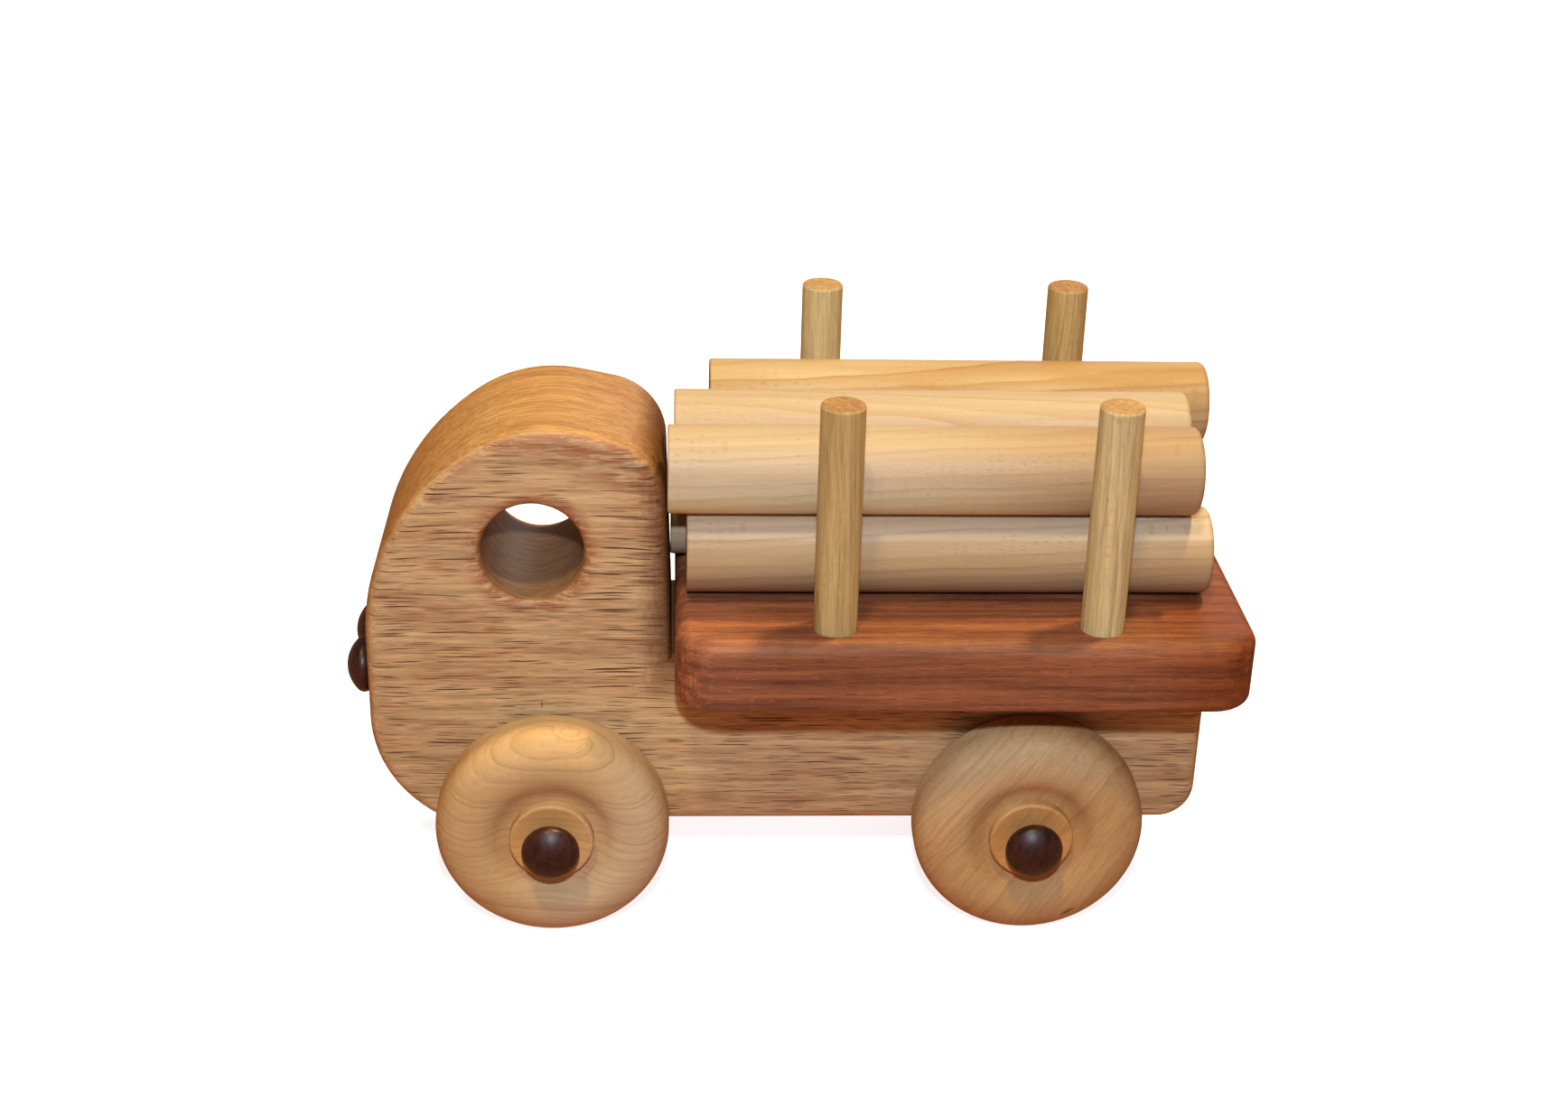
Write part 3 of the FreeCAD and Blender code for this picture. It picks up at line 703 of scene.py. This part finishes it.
STAKE = replace(
    LOG,
    light=tone(198, 168, 112),
    dark=tone(142, 100, 50),
    blush=tone(168, 128, 72),
    end=(0.72, 0.49, 0.33),
    ring=1.7 * MM,
    lean=0.03,
    fibre=0.30,
)
PALE_STAKE = replace(
    STAKE,
    light=tone(212, 188, 136),
    dark=tone(164, 128, 80),
    blush=tone(192, 160, 106),
)
STAKES = {
    "front_left": (STAKE, 0),
    "rear_left": (PALE_STAKE, 70),
    "front_right": (PALE_STAKE, 140),
    "rear_right": (STAKE, 210),
}
UPRIGHT = (0, 90, 0)  # the grain of a stake or a dowel runs up it

DASHES = Marks(3.4 * MM, 0.55 * MM, 0.34, strength=0.30)
DASH_TONE = tone(160, 116, 72)
DASH_DEPTH = -0.2
DASH_SLANT = 1.3
DASH_CROWDS = Cloud(mm(45, 7, 7))
DASH_CROWD_EDGE = (0.4, 0.62, 0.25, 1.0)


def fine_dashes(board, colour, height):
    """Short, faint dashes along the grain, denser in some stretches, that darken the pale wood."""
    x, y, z = board.split(board.loose)
    across = board.plus(y, board.times(z, DASH_SLANT))
    dashes = board.spindles(x, across, DASHES)
    dense = board.step(board.noise(board.loose, DASH_CROWDS), *DASH_CROWD_EDGE)
    colour = board.mix(board.times(dashes, dense, DASHES.strength), colour, DASH_TONE)
    return colour, board.plus(height, board.times(dashes, DASH_DEPTH))


# Painted light from below, on the log's underside.
UNDERSIDE_LIGHT_SPAN = mm(5, -8)
UNDERSIDE_LIGHT_FADE = mm(-70, 0)
UNDERSIDE_LIGHT_TINT = (1.32, 1.58, 1.44)
BROWN_REAR = mm(20, -60)
BROWN_REAR_TINT = (0.80, 0.70, 0.56)


def lit_underside(board, colour, height):
    """Painted light: the log's underside is painted paler, fading out towards the browner rear end.
    """
    x, _, z = board.offset(board.middle)
    pale = board.times(board.step(z, *UNDERSIDE_LIGHT_SPAN), board.step(x, *UNDERSIDE_LIGHT_FADE))
    colour = board.tinted(pale, colour, UNDERSIDE_LIGHT_TINT)
    return board.tinted(board.step(x, *BROWN_REAR), colour, BROWN_REAR_TINT), height


PALE_FRONT = past(centre.x, -60, 0)
PALE_FRONT_TINT = (1.04, 1.11, 1.22)


def pale_front(board, colour, height):
    """The log is paler towards its front end."""
    x = board.split(board.point)[0]
    return board.tinted(board.step(x, *PALE_FRONT), colour, PALE_FRONT_TINT), height


# Painted shade on the log's lower side: tan, darker towards the bottom.
TAN_SHADE_WAVER = Cloud(mm(60, 9, 9), detail=1.0)
TAN_SHADE_WAVER_HEIGHT = 1.5 * MM
TAN_SHADE_EDGE = mm(8.8, 8.0)
TAN_SHADE_DEPTH = mm(4, -11)
TAN_SHADE_TINTS = ((0.88, 0.78, 0.62), (0.66, 0.56, 0.46))


def tan_shaded_side(board, colour, height):
    """Painted shade: below a wavering line the log is painted tan, darker towards its bottom; its
    upper side stays grey.
    """
    z = board.offset(board.middle)[2]
    waver = board.times(board.noise(board.loose, TAN_SHADE_WAVER), TAN_SHADE_WAVER_HEIGHT)
    tan_shade = board.step(board.plus(z, waver), *TAN_SHADE_EDGE)
    tan = board.mix(board.step(z, *TAN_SHADE_DEPTH), *TAN_SHADE_TINTS)
    return board.tinted(tan_shade, colour, tan), height


LOG_SIDES = {"upper_left": (lit_underside,), "upper_right": (pale_front,), "lower_left": (tan_shaded_side,)}


def paint_round_stock():
    for place, (look, roll) in LOGS.items():
        log = f"log_{place}"
        board = Board(log, middle_of(log), roll=roll, seed=41 + roll / 10)
        put_on(log, board.dress(look, (*LOG_SIDES.get(place, ()), fine_dashes)))
    for number, (place, (look, roll)) in enumerate(STAKES.items()):
        stake = f"stake_{place}"
        board = Board(stake, middle_of(stake), angles=UPRIGHT, roll=roll, seed=23 + number)
        put_on(stake, board.dress(look, (fine_dashes,)))
    for number, row in enumerate(("front", "rear")):
        dowel = f"bed_dowel_{row}"
        board = Board(dowel, middle_of(dowel), angles=UPRIGHT, seed=37 + number)
        put_on(dowel, board.dress(LOG))


# ---------------------------------------------------------------- wheels and pegs

WHEEL = Wood(
    light=tone(209, 168, 118),
    dark=tone(166, 120, 76),
    blush=tone(190, 148, 102),
    ring=2.1 * MM,
    line=0.85,
    sharp=3.5,
    pith=mm(50, 90),
    sway=1.3 * MM,
    sway_length=26 * MM,
    fibre=0.08,
    zone=0.35,
    zone_size=mm(18, 6, 6),
    gloss=0.2,
    rough=(0.55, 0.65),
    relief=0.015 * MM,
)
KNOTTY_WHEEL = replace(WHEEL, knots=(Knot(mm(-4.5, 2.3, 34.6), reach=4 * MM, lift=5 * MM),))
REAR_WHEEL = replace(
    WHEEL,
    light=tone(200, 156, 106),
    dark=tone(158, 110, 66),
    blush=tone(178, 128, 78),
    ring=1.7 * MM,
    line=0.5,
    sharp=1.8,
    fibre=0.14,
    sway=4.0 * MM,
    sway_length=45 * MM,
)
PEG = Wood(
    light=tone(70, 31, 23),
    dark=tone(28, 13, 11),
    blush=tone(32, 16, 13),
    end=(0.8, 0.75, 0.7),
    ring=1.6 * MM,
    pith=mm(20, 20),
    fibre=0.40,
    zone=0.95,
    zone_size=mm(7, 2.2, 3.4),
    gloss=0.4,
    coat=0.05,
    rough=(0.36, 0.46),
    relief=0.01 * MM,
)
ALONG_AXLE = (0, 0, -90)  # the grain of an axle peg

# Painted warm light on the boss, and painted shade in the hollow round it.
BOSS_LIGHT_EDGE = mm(12.5, 11.5)
BOSS_LIGHT_TINT = (1.16, 0.98, 0.74)
HOLLOW_RADIUS = 15.5 * MM
HOLLOW_SHADE_SPAN = (5.5 * MM, 0.5 * MM, 0.0, 0.55)
HOLLOW_SHADE_TINT = (0.84, 0.72, 0.60)
HOLLOW_SHADE_CLOUD = Cloud(mm(9, 9, 9))
HOLLOW_SHADE_CLOUD_EDGE = (0.3, 0.7, 0.6, 1.0)


def wheel_tones_shade_and_light(blank, board, colour, height):
    """The blank turns greyer to one side; painted shade darkens the hollow round the boss, and
    painted warm light turns the boss gold.
    """
    x, _, z = board.offset(board.middle)
    toward = board.plus(board.times(x, blank.grey_way[0]), board.times(z, blank.grey_way[1]))
    colour = board.tinted(board.step(toward, *blank.grey_span), colour, blank.grey)
    gap = board.math("SUBTRACT", board.length(x, z), HOLLOW_RADIUS)
    hollow_shade = board.step(board.math("ABSOLUTE", gap), *HOLLOW_SHADE_SPAN)
    cloud = board.step(board.noise(board.point, HOLLOW_SHADE_CLOUD), *HOLLOW_SHADE_CLOUD_EDGE)
    colour = board.tinted(board.step(board.length(x, z), *BOSS_LIGHT_EDGE), colour, BOSS_LIGHT_TINT)
    return board.tinted(board.times(hollow_shade, cloud), colour, HOLLOW_SHADE_TINT), height


FLECK_TONE = tone(104, 62, 40)
FLECK_STRENGTH = 0.7
FLECK_PLACE = mm(-13.2, -26)  # along X and Z from the wheel's middle
FLECK_SLANT = (0, -35, 0)
FLECK_SHRINK = 0.3  # it is drawn out along the grain
FLECK_EDGE = mm(1.5, 0.7)
FLECK_RAGS = Cloud(mm(1, 1, 1))
FLECK_RAG_REACH = 0.9 * MM


def dark_fleck(board, colour, height):
    """A small dark knot near the rim, with a few dark lines drawn out of it along the grain."""
    x, _, z = board.offset(board.middle)
    away = board.join(board.plus(x, -FLECK_PLACE[0]), 0.0, board.plus(z, -FLECK_PLACE[1]))
    along, _, across = board.split(board.turn(away, FLECK_SLANT))
    gap = board.length(board.times(along, FLECK_SHRINK), across)
    ragged = board.times(board.noise(board.point, FLECK_RAGS), FLECK_RAG_REACH)
    mark = board.step(board.plus(gap, ragged), *FLECK_EDGE)
    return board.mix(board.times(mark, FLECK_STRENGTH), colour, FLECK_TONE), height


@dataclass(frozen=True)
class Blank:
    """The round that a wheel was turned from."""

    look: Wood
    slant: float  # of its grain, in degrees
    grey_way: tuple  # how X and Z count towards its greyer side
    grey_span: tuple
    grey: tuple = (1.04, 1.12, 1.2)
    extras: tuple = ()


WHEELS = {
    "front_left": Blank(KNOTTY_WHEEL, 2, (-1.0, -0.6), mm(-6, 24), (1.04, 1.18, 1.46)),
    "rear_left": Blank(REAR_WHEEL, 125, (0.3, 1), mm(2, 26), (1.16, 1.30, 1.48), (dark_fleck,)),
    "front_right": Blank(WHEEL, 20, (1, 0), mm(0, 25)),
    "rear_right": Blank(REAR_WHEEL, 75, (0, -1), mm(0, 25)),
}


def paint_wheels():
    """Each wheel blank was cut with its grain at another slant, and each peg is lacquered."""
    for number, (place, blank) in enumerate(WHEELS.items()):
        wheel = f"wheel_{place}"
        board = Board(wheel, middle_of(wheel), angles=(0, blank.slant, 0), seed=11 + number)
        extras = (partial(wheel_tones_shade_and_light, blank), fine_dashes, *blank.extras)
        put_on(wheel, board.dress(blank.look, extras))
        peg = f"axle_peg_{place}"
        board = Board(peg, middle_of(peg), angles=ALONG_AXLE, seed=17 + number)
        put_on(peg, board.dress(PEG))
    for number, side in enumerate(("left", "right")):
        light = f"headlight_peg_{side}"
        put_on(light, Board(light, middle_of(light), seed=31 + number).dress(PEG))


# ---------------------------------------------------------------- floor, light and camera

FLOOR_SIZE = 60.0
FLOOR_TONES = (tone(204, 214, 232), tone(208, 218, 234))
FLOOR_CLOUD = Cloud((0.25, 0.25, 0.25))
FLOOR_ROUGHNESS = (0.0, 1.0, 0.7, 0.8)
FLOOR_GRIT = Cloud(mm(4, 4, 4))
FLOOR_RELIEF = 0.01 * MM
FLOOR_GLOW = 0.82
WHITE = (1.0, 1.0, 1.0)


def make_floor():
    """A plain pale floor under the wheels, bright enough to keep the shadows on it faint."""
    bpy.ops.mesh.primitive_plane_add(size=FLOOR_SIZE, location=(0, 0, cad_low.z))
    floor = bpy.context.object
    floor.name = "floor"
    floor.visible_diffuse = False
    floor.visible_glossy = False
    shader = Shader("pale_floor")
    point = shader.node("ShaderNodeTexCoord").outputs["Object"]
    cloud = shader.noise(point, FLOOR_CLOUD)
    colour = shader.mix(cloud, *FLOOR_TONES)
    rough = shader.step(cloud, *FLOOR_ROUGHNESS)
    normal = shader.bump(shader.noise(point, FLOOR_GRIT), FLOOR_RELIEF)
    glow = {"Emission Color": WHITE, "Emission Strength": FLOOR_GLOW}
    floor.data.materials.append(shader.finish(colour, rough, normal, glow))


def set_up(thing, place, back):
    """Put a lamp or camera in its place, with the direction back straight behind it."""
    thing.location = place
    thing.rotation_mode = "QUATERNION"
    thing.rotation_quaternion = (-back).to_track_quat("-Z", "Y")
    bpy.context.scene.collection.objects.link(thing)


def add_sun(name, source, energy, angle, colour):
    """Parallel light that comes from the direction of source."""
    data = bpy.data.lights.new(name, "SUN")
    data.energy = energy
    data.angle = math.radians(angle)
    data.color = colour
    back = Vector(source)
    set_up(bpy.data.objects.new(name, data), centre + back, back)


def add_disk(name, place, size, energy, colour):
    """A round lamp that is turned to the truck's middle."""
    data = bpy.data.lights.new(name, "AREA")
    data.shape = "DISK"
    data.size = size
    data.energy = energy
    data.color = colour
    set_up(bpy.data.objects.new(name, data), place, place - centre)


HORIZON = (-0.15, 0.05)
TABLE_LIGHT = (0.56, 0.22, 0.09)
ROOM_LIGHT = (0.13, 0.12, 0.11)


def make_world():
    """A dim room above, and the warm light that a table top sends back from below."""
    world = bpy.data.worlds.new("room")
    world.use_nodes = True
    nodes = Nodes(world.node_tree)
    direction = nodes.node("ShaderNodeTexCoord").outputs["Generated"]
    above = nodes.step(nodes.split(direction)[2], *HORIZON)
    background = world.node_tree.nodes["Background"]
    nodes.feed(background.inputs["Color"], nodes.mix(above, TABLE_LIGHT, ROOM_LIGHT))
    bpy.context.scene.world = world


def make_lights(camera):
    """Two warm ceiling lamps, a cool one just above the lens and a soft one behind the truck."""
    add_sun("ceiling_back", (-0.24, -0.12, 0.96), energy=2.55, angle=4, colour=(1.0, 0.76, 0.32))
    add_sun("ceiling_front", (0.15, 0.34, 0.93), energy=1.1, angle=6, colour=(1.0, 0.79, 0.34))
    above_lens = camera.location + Vector((0, -0.02, 0.115))
    add_disk("lens_side", above_lens, size=0.03, energy=3.8, colour=(0.70, 0.84, 1.0))
    behind = centre + Vector((-0.35, -0.9, 0.45))
    add_disk("far_side", behind, size=0.8, energy=2.0, colour=(0.95, 0.97, 1.0))


CAMERA_DISTANCE = 0.691
CAMERA_ANGLES = (176.76, 25.33, 1.57)  # round the truck, upwards, and roll, in degrees
CAMERA_AIM = centre + Vector(mm(1.3, 0, 20.7))
SENSOR_WIDTH = 36
FOCAL_LENGTH = 51.8
NEAREST_SEEN = 0.05


def make_camera():
    """From the truck's left, a little ahead of square and 25 degrees up."""
    azimuth, elevation, roll = (math.radians(angle) for angle in CAMERA_ANGLES)
    level = Vector((math.sin(azimuth), -math.cos(azimuth), 0)) * math.cos(elevation)
    back = level + Vector((0, 0, math.sin(elevation)))
    data = bpy.data.cameras.new("camera")
    data.sensor_width = SENSOR_WIDTH
    data.lens = FOCAL_LENGTH
    data.clip_start = NEAREST_SEEN
    camera = bpy.data.objects.new("camera", data)
    set_up(camera, CAMERA_AIM + back * CAMERA_DISTANCE, back)
    camera.rotation_quaternion @= Quaternion((0, 0, 1), roll)
    bpy.context.scene.camera = camera
    return camera


paint_block()
paint_bed()
paint_round_stock()
paint_wheels()
make_floor()
make_world()
make_lights(make_camera())
bpy.context.scene.view_settings.view_transform = "Standard"
